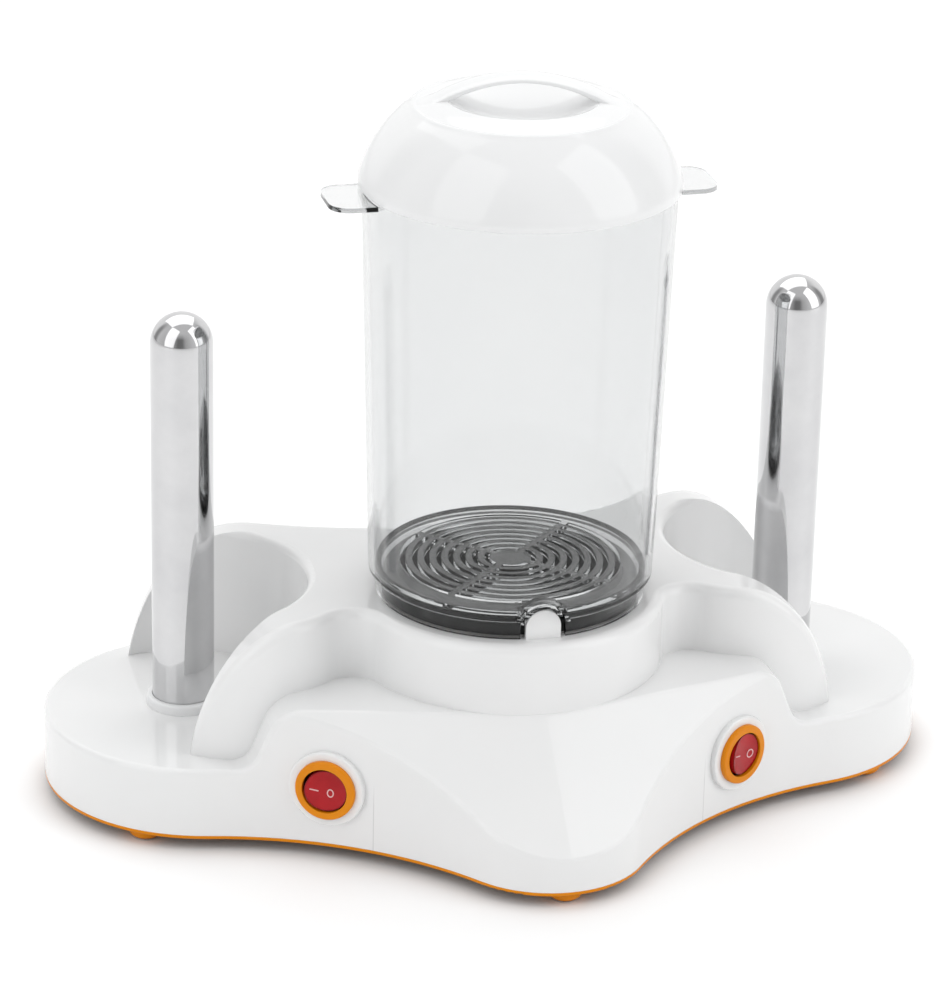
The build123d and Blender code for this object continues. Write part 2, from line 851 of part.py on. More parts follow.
def round_rod(radius, bottom, top):
    """Upright rod at the well with a half ball on top."""
    return disc(well, radius, bottom, top - radius) + Pos(well.X, well.Y, top - radius) * Sphere(radius)


def spike_collar():
    """Insulating ring round the foot of a spike."""
    body = disc(well, collar_radius, rim_z, rim_z + collar_height)
    body = fillet(body.edges().group_by(Axis.Z)[-1], collar_edge)
    return body - disc(well, spike_radius + fit, rim_z - overrun, rim_z + collar_height + overrun)


def spike_heater():
    """Rod heater inside a spike with its end cap."""
    cap = disc(well, rod_cap_radius, retainer_z - rod_cap_height, retainer_z)
    return cap + disc(well, rod_radius, retainer_z, retainer_z + rod_length)


def spike_retainers():
    """Rings that clamp the spikes' flanges to the trays."""
    body = ring(well, retainer_radius, retainer_bore, retainer_z, flange_z)
    bore = screw_radius + fit
    cuts = [disc(place, bore, retainer_z - overrun, flange_z + overrun) for place in retainer_places()]
    return both_sides(body - cuts)


def retainer_screws():
    """Screws of both retainers."""
    right = [screw(place, retainer_z, retainer_screw_length) for place in retainer_places()]
    return Compound(children=right + [mirror(solid, Plane.YZ) for solid in right])


def switch_bezel():
    """Ring in front of a switch, in the switch's own frame."""
    body = fillet(rod(bezel_radius, 0, bezel_proud).edges().group_by(Axis.Z)[-1], bezel_edge)
    return body - rod(barrel_bore, -overrun, bezel_proud + overrun)


def switch_body():
    """Barrel of a switch with pivot holes and two terminals, in the switch's own frame."""
    body = rod(barrel_radius, -barrel_depth, 0) - rod(barrel_bore, barrel_floor - barrel_depth, overrun)
    through = 2 * (barrel_radius + overrun)
    pivot = Pos(0, 0, -pivot_depth) * Rot(90, 0, 0) * Cylinder(pivot_radius + pivot_fit, through)
    for side in (-1, 1):
        terminal = Rectangle(blade_thickness, blade_width)
        terminal = Pos(side * switch_blade_spacing / 2, 0, -barrel_depth - blade_length) * terminal
        body = body + extrude(terminal, amount=blade_length)
    return body - pivot


def rocker():
    """Round rocker with a hollow face, pressed in on the right, in the switch's own frame."""
    body = rod(rocker_radius, -rocker_depth, rocker_proud)
    rise = (rocker_dish**2 - rocker_radius**2) ** 0.5
    through = 2 * (rocker_radius + overrun)
    body = body - Pos(0, 0, rocker_proud + rise) * Rot(90, 0, 0) * Cylinder(rocker_dish, through)
    pin = 2 * (barrel_radius - pivot_end_gap)
    pivot = Pos(0, 0, -pivot_depth) * Rot(90, 0, 0) * Cylinder(pivot_radius, pin)
    tilt = Pos(0, 0, -pivot_depth) * Rot(0, rocker_tilt, 0) * Pos(0, 0, pivot_depth)
    return tilt * (body + pivot)


def terminal_block():
    """Terminal block on the bottom plate, in front of the inlet."""
    inner_end = wall + grommet_flange + terminal_gap
    middle = back_middle - Vector(0, inner_end + terminal_width / 2)
    top = shell_z + terminal_height
    body = prism(Pos(middle.X, middle.Y) * Rectangle(terminal_length, terminal_width), shell_z, top)
    pitch = terminal_length / terminal_ways
    for n in range(terminal_ways):
        place = middle + Vector(pitch * (n - (terminal_ways - 1) / 2), 0)
        body = body - disc(place, terminal_screw_radius, top - terminal_screw_depth, top + overrun)
    return body


def cord_grommet():
    """Bush of the mains inlet in the back wall."""
    body = rod(grommet_radius, -wall - grommet_flange, 0) + rod(grommet_flange_radius, 0, grommet_flange)
    body = body + rod(grommet_inner_flange_radius, -wall - grommet_flange, -wall - fit)
    return inlet_plane * (body - rod(grommet_bore, -wall - grommet_flange - overrun, grommet_flange + overrun))


def keep(name, shape):
    """Write one piece."""
    export_step(shape, f"parts/{name}.step")


os.makedirs("parts", exist_ok=True)
keep("base_shell", base_shell())
keep("bottom_plate", bottom_plate())
keep("feet", feet())
keep("plate_screws", plate_screws())
keep("heating_bowl", heating_bowl())
keep("bowl_seal", bowl_seal())
keep("steam_heater", steam_heater())
keep("heater_clamp", heater_clamp())
keep("clamp_screws", clamp_screws())
keep("thermostat", thermostat())
keep("thermal_fuse", thermal_fuse())
keep("container", container())
keep("container_floor", container_floor())
keep("lid", lid())
keep("spike_retainers", spike_retainers())
keep("retainer_screws", retainer_screws())
keep("terminal_block", terminal_block())
keep("cord_grommet", cord_grommet())
for name, side in (("left", -1), ("right", 1)):
    place = switch_place(side)
    keep(f"{name}_switch_bezel", place * switch_bezel())
    keep(f"{name}_switch_body", place * switch_body())
    keep(f"{name}_rocker", place * rocker())
for piece, shape in (("spike", spike()), ("spike_collar", spike_collar()), ("spike_heater", spike_heater())):
    keep(f"right_{piece}", shape)
    keep(f"left_{piece}", mirror(shape, Plane.YZ))
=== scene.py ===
import json
from math import pi, radians

import bpy
from mathutils import Matrix, Vector


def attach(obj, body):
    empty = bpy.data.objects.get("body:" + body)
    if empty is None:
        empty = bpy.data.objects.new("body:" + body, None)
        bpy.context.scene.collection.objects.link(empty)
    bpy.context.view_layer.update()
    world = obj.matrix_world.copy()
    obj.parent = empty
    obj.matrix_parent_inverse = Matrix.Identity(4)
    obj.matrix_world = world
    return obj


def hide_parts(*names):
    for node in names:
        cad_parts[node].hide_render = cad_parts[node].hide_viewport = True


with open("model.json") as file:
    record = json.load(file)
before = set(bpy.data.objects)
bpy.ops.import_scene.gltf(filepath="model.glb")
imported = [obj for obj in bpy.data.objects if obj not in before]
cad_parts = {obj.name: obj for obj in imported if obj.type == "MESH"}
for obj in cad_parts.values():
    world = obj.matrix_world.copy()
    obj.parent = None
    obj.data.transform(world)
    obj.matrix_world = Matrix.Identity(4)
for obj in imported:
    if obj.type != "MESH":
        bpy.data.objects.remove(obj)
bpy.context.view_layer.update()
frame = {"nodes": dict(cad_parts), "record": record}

mm = 0.001
nodes = frame["nodes"]

# Camera, solved from the circles of the pot and the upright spikes
CAMERA_PLACE = (-0.3767, -1.4258, 0.7246)
CAMERA_YAW = radians(-14.2208)
CAMERA_PITCH = radians(-22.1969)
CAMERA_ROLL = radians(1.34886)
CAMERA_LENS = 151.2
CAMERA_SENSOR = 36.0
CAMERA_NEAREST = 0.01
CAMERA_FARTHEST = 50

# Surround: brightness by degrees to the right of the camera's own direction, and a plain grey overhead
SURROUND_STRENGTH = 1.03
CAMERA_BEARING = radians(-104.8)
SURROUND = (
    (-128, 1.0), (-116, 0.35), (-106, 0.35), (-94, 0.75), (-60, 0.62), (-28, 0.50), (-9, 0.20), (8, 0.22),
    (20, 0.50), (50, 0.76), (92, 0.78), (104, 0.35), (118, 0.35), (130, 1.0),
)
OVERHEAD_START = 0.5
OVERHEAD_FULL = 0.8
OVERHEAD_GREY = (0.70, 0.70, 0.70)

# Floor, and soft lights by name: place, target, size in metres and power in watts
FLOOR_SIZE = 12.0
FLOOR_WHITE = (0.99, 0.99, 0.99, 1)
SOFT_LIGHTS = {
    "left_softbox": ((-1.5, -0.9, 1.3), (0, 0, 0.3), (1.4, 2.6), 12.0),
    "right_softbox": ((1.5, -0.95, 1.3), (0, 0, 0.3), (1.3, 2.6), 13.5),
    "top_softbox": ((0.0, 1.2, 2.3), (0, 0.4, 0), (3.0, 2.4), 23.0),
}

# Moulded plastics by slot; the shade is for flow marks, the edge is the lighter colour of rubbed edges with
# a painted edge highlight, and gloss is roughness
PLASTICS = {
    "housing": {
        "name": "white housing", "color": (0.83, 0.83, 0.83), "shade": (0.81, 0.815, 0.815),
        "edge": (0.88, 0.88, 0.88), "gloss": (0.07, 0.14),
    },
    "lid_plastic": {
        "name": "milky lid", "color": (0.825, 0.83, 0.832), "shade": (0.805, 0.81, 0.815),
        "edge": (0.92, 0.92, 0.92), "gloss": (0.06, 0.12), "edge_radius": 0.6 * mm,
    },
    "collar_plastic": {
        "name": "collar white", "color": (0.86, 0.865, 0.87), "shade": (0.83, 0.835, 0.84),
        "edge": (0.92, 0.92, 0.92), "gloss": (0.35, 0.5),
    },
    "orange_plastic": {
        "name": "orange plastic", "color": (0.76, 0.25, 0.001), "shade": (0.71, 0.225, 0.001),
        "edge": (0.82, 0.33, 0.004), "gloss": (0.30, 0.42), "shine": 0.2,
    },
    "dark_plastic": {
        "name": "dark plastic", "color": (0.03, 0.03, 0.032), "shade": (0.02, 0.02, 0.021),
        "edge": (0.07, 0.07, 0.07), "gloss": (0.35, 0.5),
    },
    "terminal_plastic": {
        "name": "terminal plastic", "color": (0.72, 0.70, 0.64), "shade": (0.64, 0.62, 0.56),
        "edge": (0.8, 0.78, 0.72), "gloss": (0.4, 0.55),
    },
    "seal_rubber": {
        "name": "grey silicone", "color": (0.36, 0.35, 0.34), "shade": (0.30, 0.29, 0.28),
        "edge": (0.42, 0.41, 0.40), "gloss": (0.5, 0.65),
    },
    "dark_rubber": {
        "name": "dark rubber", "color": (0.03, 0.03, 0.03), "shade": (0.022, 0.022, 0.022),
        "edge": (0.06, 0.06, 0.06), "gloss": (0.55, 0.7),
    },
}

# Metals by slot; the shade is for handling haze and the brush is the scale of the turned or drawn lines
METALS = {
    "spike_metal": {
        "name": "polished spike", "color": (0.66, 0.66, 0.665), "shade": (0.58, 0.58, 0.59),
        "gloss": (0.04, 0.10), "brush": (40, 40, 4000),
    },
    "heater_metal": {
        "name": "cast metal", "color": (0.60, 0.60, 0.60), "shade": (0.48, 0.48, 0.48),
        "gloss": (0.45, 0.6), "brush": (500, 500, 500),
    },
    "sheet_steel": {
        "name": "plated sheet", "color": (0.66, 0.66, 0.64), "shade": (0.55, 0.56, 0.55),
        "gloss": (0.30, 0.42), "brush": (60, 1800, 60),
    },
    "screw_steel": {
        "name": "screw steel", "color": (0.60, 0.60, 0.58), "shade": (0.45, 0.46, 0.46),
        "gloss": (0.30, 0.42), "brush": (300, 300, 3000),
    },
}
# Painted shade: darker brown on the downward faces of the orange plate, which also dims its orange bounce
# on the floor
UNDERSIDE_SHADE_BROWN = (0.16, 0.075, 0.03)

# Mould seams beside the switches: two fine upright lines on the front of the housing
SEAM_X = 64.5 * mm
SEAM_HALF = 0.22 * mm
SEAM_BEHIND = -32 * mm
SEAM_BEHIND_FADE = 2 * mm
SEAM_TOP = 34 * mm
SEAM_TOP_FADE = 10 * mm
SEAM_GREY = (0.66, 0.66, 0.66)

# Lid: radii and heights in millimetres, and its turn as it stands in the photograph
POT_AXIS = Vector((0, 3.8 * mm, 0))
LID_TURN = radians(-11)
LID_RADIUS = 60.1
LID_LOW = 248.3
LID_BAND = 251.2
LID_SEAT = 250.5
LID_STEP = 2.2
LID_WALL = 1.2
LID_BRIM_WALL = 0.6
LID_BULGE = 2.8
LID_CREASE = (41.0, 278.2)
LID_RIDGE = ((40.7, 278.55), (40.25, 278.7), (39.8, 278.65), (39.3, 278.55), (38.8, 278.6))
LID_BRIM = (28.7, 281.0)
LID_BRIM_BULGE = 0.3
LID_DISH = 273.2
LID_DISH_BULGE = 1.9
LID_TOP = 290.1
DOME_STEPS, BRIM_STEPS, DISH_STEPS = 16, 3, 12
INSIDE_START = 3
ROUND_STEPS = 144
LID_EDGE = 0.5 * mm

# Strap of the lid in millimetres: left run-out and root, right spring, and steps (across, up) of its width
STRAP_RUNOUT = ((-39.0, 278.3), (-36.5, 279.3), (-34.0, 280.4), (-31.0, 281.8))
STRAP_SPRING = (28.0, 283.5)
STRAP_ROOTS = ((-37.0, 276.9), (-29.7, 279.6))
STRAP_UNDER = 288.9
STRAP_TOP_STEPS, STRAP_UNDER_STEPS = 28, 20
STRAP_CROWN = ((2.0, 0.65), (2.2, 0.25), (4.6, 0.0), (2.2, -0.25), (2.0, -0.65))
STRAP_EDGE = 0.4 * mm

# Edges sharper than the first angle are rounded, and faces under the second are shaded smooth
ROUNDED_FROM = radians(40)
SMOOTH_TO = radians(35)
DOUBLES = 0.001 * mm

# Switch: middle of the ring's seat, its outward direction, and the rocker's tilt about its pins
SWITCH_PLACE = (81.1352 * mm, -42.9114 * mm, 29.6 * mm)
SWITCH_OUT = (0.52204, -0.852921)
ROCKER_PIN_DEPTH = 2.6 * mm
ROCKER_TILT = radians(7)

# Rocker marks for the left (-1) and the right (1) rocker, from the middle of the rocker's face
MARK_LINE_PLACE = {-1: (-4.5 * mm, 0.2 * mm), 1: (-4.7 * mm, 0.7 * mm)}
MARK_RING_PLACE = {-1: (1.7 * mm, -0.7 * mm), 1: (3.6 * mm, -0.9 * mm)}
MARK_LINE_TURN = {-1: radians(-12), 1: radians(-14)}
MARK_LINE_HALF = 1.7 * mm
MARK_RING_HALF = {-1: (1.35 * mm, 1.7 * mm), 1: (1.9 * mm, 1.75 * mm)}
MARK_RING_STEPS = 48
MARK_STROKE = 0.42 * mm
MARK_LIFT = 12 * mm
MARK_THICKNESS = 0.15 * mm


def clear_selection():
    """Leave edit mode and deselect everything."""
    if bpy.context.object and bpy.context.object.mode != "OBJECT":
        bpy.ops.object.mode_set(mode="OBJECT")
    bpy.ops.object.select_all(action="DESELECT")


def new_material(name):
    """Material with its tree and its shader."""
    material = bpy.data.materials.new(name)
    material.use_nodes = True
    tree = material.node_tree
    return material, tree, tree.nodes["Principled BSDF"]


def place_on_object(tree, scale=(1, 1, 1)):
    """Object coordinates of the piece, stretched by a scale."""
    coordinates = tree.nodes.new("ShaderNodeTexCoord")
    mapping = tree.nodes.new("ShaderNodeMapping")
    mapping.inputs["Scale"].default_value = scale
    tree.links.new(coordinates.outputs["Object"], mapping.inputs["Vector"])
    return mapping.outputs["Vector"]


def noise(tree, vector, scale, detail=3.0, roughness=0.5):
    """Noise over the surface, from 0 to 1."""
    texture = tree.nodes.new("ShaderNodeTexNoise")
    texture.inputs["Scale"].default_value = scale
    texture.inputs["Detail"].default_value = detail
    texture.inputs["Roughness"].default_value = roughness
    tree.links.new(vector, texture.inputs["Vector"])
    return texture.outputs["Fac"]


def spread(tree, value, low, high, start=0.3, end=0.7):
    """A value between start and end moved to the range from low to high."""
    ranged = tree.nodes.new("ShaderNodeMapRange")
    ranged.inputs["From Min"].default_value = start
    ranged.inputs["From Max"].default_value = end
    ranged.inputs["To Min"].default_value = low
    ranged.inputs["To Max"].default_value = high
    tree.links.new(value, ranged.inputs["Value"])
    return ranged.outputs["Result"]


def calculate(tree, operation, first, second=None):
    """One sum on values; the second is a number or another node's output."""
    node = tree.nodes.new("ShaderNodeMath")
    node.operation = operation
    tree.links.new(first, node.inputs[0])
    if isinstance(second, float):
        node.inputs[1].default_value = second
    elif second is not None:
        tree.links.new(second, node.inputs[1])
    return node.outputs[0]


def split_axes(tree, vector):
    """The X, Y and Z outputs of a vector."""
    split = tree.nodes.new("ShaderNodeSeparateXYZ")
    tree.links.new(vector, split.inputs["Vector"])
    return split.outputs


def blend_colors(tree, share, first, second):
    """Colour between two colours; each is a value or another node's output."""
    mix = tree.nodes.new("ShaderNodeMix")
    mix.data_type = "RGBA"
    for name, color in (("A", first), ("B", second)):
        socket = next(s for s in mix.inputs if s.name == name and s.type == "RGBA")
        if isinstance(color, tuple):
            socket.default_value = (*color, 1)
        else:
            tree.links.new(color, socket)
    tree.links.new(share, mix.inputs[0])
    return next(s for s in mix.outputs if s.type == "RGBA")


def recolor(material, share, color):
    """Lay a second colour over a material's own colour where the share is 1."""
    tree = material.node_tree
    socket = tree.nodes["Principled BSDF"].inputs["Base Color"]
    own = socket.links[0].from_socket
    tree.links.new(blend_colors(tree, share, own, color), socket)


def bump(tree, height, depth, strength=1.0, onto=None):
    """Normal from a height, in metres of depth."""
    node = tree.nodes.new("ShaderNodeBump")
    node.inputs["Strength"].default_value = strength
    node.inputs["Distance"].default_value = depth
    tree.links.new(height, node.inputs["Height"])
    if onto is not None:
        tree.links.new(onto, node.inputs["Normal"])
    return node.outputs["Normal"]


def soft_edges(tree, radius):
    """Normal that rounds the sharp edges of a piece."""
    bevel = tree.nodes.new("ShaderNodeBevel")
    bevel.samples = 6
    bevel.inputs["Radius"].default_value = radius
    return bevel.outputs["Normal"]


def edge_wear_and_painted_light(tree, radius):
    """1 along sharp edges and 0 on flat ground; it lays rubbed edges with a painted highlight on the
    plastics and painted shade on the rockers' edges.
    """
    rounded = soft_edges(tree, radius)
    geometry = tree.nodes.new("ShaderNodeNewGeometry")
    product = tree.nodes.new("ShaderNodeVectorMath")
    product.operation = "DOT_PRODUCT"
    tree.links.new(rounded, product.inputs[0])
    tree.links.new(geometry.outputs["Normal"], product.inputs[1])
    return spread(tree, product.outputs["Value"], 1.0, 0.0, 0.80, 0.99)


def moulded_plastic(name, color, shade, edge, gloss, edge_radius=0.5 * mm, shine=0.5):
    """Moulded plastic: faint flow marks, a fine skin, and slightly rubbed edges lightened by a painted edge
    highlight.
    """
    material, tree, shader = new_material(name)
    vector = place_on_object(tree)
    flow = noise(tree, vector, 18, detail=2)
    tinted = blend_colors(tree, spread(tree, flow, 0, 1), color, shade)
    # Lighter colour along sharp edges: rubbed plastic with a painted edge highlight
    worn = blend_colors(tree, edge_wear_and_painted_light(tree, edge_radius), tinted, edge)
    tree.links.new(worn, shader.inputs["Base Color"])
    smear = noise(tree, vector, 60, detail=5, roughness=0.6)
    tree.links.new(spread(tree, smear, *gloss), shader.inputs["Roughness"])
    skin = noise(tree, vector, 1400, detail=2)
    rounded = soft_edges(tree, edge_radius)
    tree.links.new(bump(tree, skin, 0.01 * mm, 0.25, rounded), shader.inputs["Normal"])
    shader.inputs["IOR"].default_value = 1.5
    shader.inputs["Specular IOR Level"].default_value = shine
    return material


def show_mould_seams(material):
    """Grey lines along the two mould seams beside the switches."""
    tree = material.node_tree
    axes = split_axes(tree, place_on_object(tree))
    beside = calculate(tree, "SUBTRACT", calculate(tree, "ABSOLUTE", axes["X"]), SEAM_X)
    line = spread(tree, calculate(tree, "ABSOLUTE", beside), 1.0, 0.0, SEAM_HALF / 2, SEAM_HALF)
    front = spread(tree, axes["Y"], 1.0, 0.0, SEAM_BEHIND - SEAM_BEHIND_FADE, SEAM_BEHIND)
    low = spread(tree, axes["Z"], 1.0, 0.0, SEAM_TOP - SEAM_TOP_FADE, SEAM_TOP)
    patch = calculate(tree, "MULTIPLY", front, low)
    recolor(material, calculate(tree, "MULTIPLY", line, patch), SEAM_GREY)


def paint_underside_shade(material):
    """Painted shade: a darker colour on the faces that look straight down."""
    tree = material.node_tree
    geometry = tree.nodes.new("ShaderNodeNewGeometry")
    axes = split_axes(tree, geometry.outputs["Normal"])
    recolor(material, spread(tree, axes["Z"], 1.0, 0.0, -0.95, -0.6), UNDERSIDE_SHADE_BROWN)


def bright_metal(name, color, shade, gloss, brush):
    """Metal with fine lines along the piece and a little handling haze."""
    material, tree, shader = new_material(name)
    lines = noise(tree, place_on_object(tree, brush), 1, detail=3)
    vector = place_on_object(tree)
    haze = noise(tree, vector, 40, detail=5, roughness=0.6)
    tree.links.new(blend_colors(tree, spread(tree, haze, 0, 1), color, shade), shader.inputs["Base Color"])
    tree.links.new(spread(tree, haze, *gloss), shader.inputs["Roughness"])
    rounded = soft_edges(tree, 0.3 * mm)
    tree.links.new(bump(tree, lines, 0.01 * mm, 0.2, rounded), shader.inputs["Normal"])
    shader.inputs["Metallic"].default_value = 1.0
    return material


def clear_plastic():
    """Clear pot plastic with faint scuffs."""
    material, tree, shader = new_material("clear plastic")
    vector = place_on_object(tree)
    scuff = noise(tree, vector, 90, detail=6, roughness=0.7)
    tree.links.new(spread(tree, scuff, 0.01, 0.06, 0.45, 0.75), shader.inputs["Roughness"])
    tint = noise(tree, vector, 12, detail=2)
    clear = blend_colors(tree, spread(tree, tint, 0, 1), (0.885, 0.89, 0.89), (0.865, 0.872, 0.875))
    tree.links.new(clear, shader.inputs["Base Color"])
    waves = noise(tree, vector, 35, detail=1)
    tree.links.new(bump(tree, waves, 0.02 * mm, 0.3), shader.inputs["Normal"])
    shader.inputs["Transmission Weight"].default_value = 1.0
    shader.inputs["IOR"].default_value = 1.49
    shader.inputs["Specular Tint"].default_value = (0.45, 0.45, 0.45, 1)
    depth = tree.nodes.new("ShaderNodeVolumeAbsorption")
    depth.inputs["Color"].default_value = (0.30, 0.31, 0.32, 1)
    depth.inputs["Density"].default_value = 24.0
    tree.links.new(depth.outputs["Volume"], tree.nodes["Material Output"].inputs["Volume"])
    return material


def bowl_coat():
    """Black non-stick coat of the bowl, with faint lime marks."""
    material, tree, shader = new_material("bowl coat")
    vector = place_on_object(tree)
    grain = noise(tree, vector, 700, detail=3)
    lime = noise(tree, vector, 45, detail=6, roughness=0.7)
    marked = spread(tree, lime, 0, 0.5, 0.55, 0.8)
    dark = blend_colors(tree, marked, (0.006, 0.006, 0.006), (0.03, 0.03, 0.031))
    tree.links.new(dark, shader.inputs["Base Color"])
    tree.links.new(spread(tree, lime, 0.30, 0.42), shader.inputs["Roughness"])
    rounded = soft_edges(tree, 0.6 * mm)
    tree.links.new(bump(tree, grain, 0.005 * mm, 0.1, rounded), shader.inputs["Normal"])
    shader.inputs["Specular IOR Level"].default_value = 0.15
    return material


def red_rocker():
    """Red translucent plastic of the rockers, with painted shade darkening it towards its edges."""
    material, tree, shader = new_material("red rocker")
    vector = place_on_object(tree)
    cloud = noise(tree, vector, 120, detail=3)
    red = blend_colors(tree, spread(tree, cloud, 0, 1), (0.46, 0.008, 0.014), (0.36, 0.005, 0.009))
    # Painted shade: dark red laid along the rocker's edges
    edge_shaded_red = blend_colors(tree, edge_wear_and_painted_light(tree, 1.2 * mm), red, (0.12, 0.002, 0.003))
    tree.links.new(edge_shaded_red, shader.inputs["Base Color"])
    tree.links.new(spread(tree, noise(tree, vector, 300, detail=4), 0.10, 0.2), shader.inputs["Roughness"])
    rounded = soft_edges(tree, 0.4 * mm)
    tree.links.new(bump(tree, cloud, 0.03 * mm, 0.2, rounded), shader.inputs["Normal"])
    shader.inputs["Specular IOR Level"].default_value = 0.25
    shader.inputs["Subsurface Weight"].default_value = 0.25
    shader.inputs["Subsurface Radius"].default_value = (1.0, 0.1, 0.05)
    shader.inputs["Subsurface Scale"].default_value = 2 * mm
    return material


def mark_print():
    """Pale print of the rocker marks, worn thin in places so that the red shows through."""
    material, tree, shader = new_material("mark print")
    vector = place_on_object(tree)
    rubbed = spread(tree, noise(tree, vector, 900, detail=4), 0, 0.5, 0.4, 0.8)
    pale = blend_colors(tree, rubbed, (0.80, 0.52, 0.52), (0.66, 0.28, 0.28))
    tree.links.new(pale, shader.inputs["Base Color"])
    tree.links.new(spread(tree, noise(tree, vector, 300, detail=4), 0.30, 0.45), shader.inputs["Roughness"])
    tree.links.new(bump(tree, noise(tree, vector, 2500, detail=2), 0.01 * mm, 0.3), shader.inputs["Normal"])
    return material


def finish_nodes():
    """Give every solid of the frame its material."""
    finishes = {slot: moulded_plastic(**look) for slot, look in PLASTICS.items()}
    finishes |= {slot: bright_metal(**look) for slot, look in METALS.items()}
    finishes |= {"clear_plastic": clear_plastic(), "bowl_enamel": bowl_coat(), "rocker_red": red_rocker()}
    show_mould_seams(finishes["housing"])
    # Painted shade under the orange plate
    paint_underside_shade(finishes["orange_plastic"])
    for part in frame["record"]["subparts"]:
        piece = nodes[part["node"]]
        piece.data.materials.clear()
        piece.data.materials.append(finishes[part["material_slot"]])
    return finishes


def arc_points(start, end, bulge, steps):
    """Points of a bowed line between two points, bulging to the left of its direction."""
    start, end = Vector(start), Vector(end)
    along = end - start
    left = Vector((-along.y, along.x)).normalized()
    points = []
    for step in range(steps + 1):
        share = step / steps
        points.append(start + along * share + left * bulge * 4 * share * (1 - share))
    return points


def mirrored(points):
    """The points on the other side of the upright axis."""
    return [(-x, z) for x, z in points]


def drawn_line(name, points, y):
    """Line drawn point by point in an upright plane, left in edit mode and selected."""
    clear_selection()
    first = points[0]
    bpy.ops.mesh.primitive_plane_add(size=1 * mm, location=(first[0] * mm, y, first[1] * mm))
    line = bpy.context.object
    line.name = name
    bpy.ops.object.mode_set(mode="EDIT")
    bpy.ops.mesh.select_all(action="SELECT")
    bpy.ops.mesh.merge(type="CENTER")
    for before, after in zip(points, points[1:]):
        step = ((after[0] - before[0]) * mm, 0, (after[1] - before[1]) * mm)
        bpy.ops.mesh.extrude_region_move(TRANSFORM_OT_translate={"value": step})
    bpy.ops.mesh.select_all(action="SELECT")
    return line


def finished_edges(piece, width):
    """Join doubles, turn the faces outwards, round the edges and shade the piece smooth."""
    bpy.ops.mesh.select_all(action="SELECT")
    bpy.ops.mesh.remove_doubles(threshold=DOUBLES)
    bpy.ops.mesh.normals_make_consistent(inside=False)
    bpy.ops.object.mode_set(mode="OBJECT")
    rounds = piece.modifiers.new("rounded edges", "BEVEL")
    rounds.width = width
    rounds.segments = 3
    rounds.limit_method = "ANGLE"
    rounds.angle_limit = ROUNDED_FROM
    bpy.ops.object.modifier_apply(modifier=rounds.name)
    bpy.ops.object.transform_apply(location=True, rotation=True, scale=True)
    bpy.ops.object.shade_smooth_by_angle(angle=SMOOTH_TO)


def lid_shell():
    """Thin dome with a crease, a raised brim and a dished top, turned about the pot's axis."""
    dome = arc_points((LID_RADIUS, LID_BAND), LID_CREASE, -LID_BULGE, DOME_STEPS)
    outside = [(LID_RADIUS, LID_LOW), *dome]
    brim = [*LID_RIDGE, *arc_points(LID_RIDGE[-1], LID_BRIM, -LID_BRIM_BULGE, BRIM_STEPS)[1:]]
    dish = arc_points(LID_BRIM, (0, LID_DISH), LID_DISH_BULGE, DISH_STEPS)[1:]

    under_dish = [(r, z - LID_WALL) for r, z in dish]
    under_brim = [(r - LID_BRIM_WALL, z - LID_WALL) for r, z in brim]
    inside_wall = [(r - LID_WALL, z - LID_WALL) for r, z in outside[INSIDE_START:]]
    inside = [*reversed(under_dish), *reversed(under_brim), *reversed(inside_wall)]

    wall = LID_RADIUS - LID_WALL
    seat = [
        (wall, LID_SEAT + LID_WALL), (wall - LID_STEP, LID_SEAT + LID_WALL),
        (wall - LID_STEP, LID_SEAT), (wall, LID_SEAT), (wall, LID_LOW), outside[0],
    ]
    shell = drawn_line("domed_lid", [*outside, *brim, *dish, *inside, *seat], POT_AXIS.y)
    bpy.ops.mesh.spin(steps=ROUND_STEPS, angle=2 * pi, center=POT_AXIS, axis=(0, 0, 1))
    finished_edges(shell, LID_EDGE)
    return shell


def lid_strap():
    """Arched strap, crowned across its width, that runs out into the brim on buried roots."""
    reach, spring = STRAP_SPRING
    arch = arc_points((-reach, spring), (reach, spring), LID_TOP - spring, STRAP_TOP_STEPS)
    top = [*STRAP_RUNOUT, *arch, *mirrored(reversed(STRAP_RUNOUT))]
    brim_right, brim_left = LID_BRIM, (-LID_BRIM[0], LID_BRIM[1])
    under = arc_points(brim_right, brim_left, LID_BRIM[1] - STRAP_UNDER, STRAP_UNDER_STEPS)
    sides = [*mirrored(STRAP_ROOTS), *under, *reversed(STRAP_ROOTS)]
    width = sum(across for across, _ in STRAP_CROWN) * mm
    crown = sum(rise for _, rise in STRAP_CROWN if rise > 0)
    outline = [(x, z - crown) for x, z in (*top, *sides)]

    strap = drawn_line("lid_strap", outline, POT_AXIS.y - width / 2)
    bpy.ops.mesh.edge_face_add()
    for across, rise in STRAP_CROWN:
        bpy.ops.mesh.extrude_region_move(TRANSFORM_OT_translate={"value": (0, across * mm, rise * mm)})
    finished_edges(strap, STRAP_EDGE)
    return strap


def standing_lid(finish):
    """The lid on the pot, turned a little as it stands in the photograph."""
    strap = lid_strap()
    shell = lid_shell()
    strap.select_set(True)
    bpy.ops.object.join()
    turn = Matrix.Rotation(LID_TURN, 4, "Z")
    shell.matrix_world = Matrix.Translation(POT_AXIS) @ turn @ Matrix.Translation(-POT_AXIS)
    bpy.ops.object.transform_apply(location=True, rotation=True, scale=True)
    shell.data.materials.append(finish)
    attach(shell, "lid")
    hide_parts("lid")


def rocker_frame(side):
    """Place and turn of a rocker's face, with +Z outwards and +X to the right."""
    out = Vector((side * SWITCH_OUT[0], SWITCH_OUT[1], 0))
    right = Vector((-SWITCH_OUT[1], side * SWITCH_OUT[0], 0))
    turn = Matrix((right, Vector((0, 0, 1)), out)).transposed().to_4x4()
    seat = Matrix.Translation((side * SWITCH_PLACE[0], SWITCH_PLACE[1], SWITCH_PLACE[2])) @ turn
    pin = Vector((0, 0, ROCKER_PIN_DEPTH))
    tilt = Matrix.Rotation(ROCKER_TILT, 4, "Y")
    return seat @ Matrix.Translation(-pin) @ tilt @ Matrix.Translation(pin)


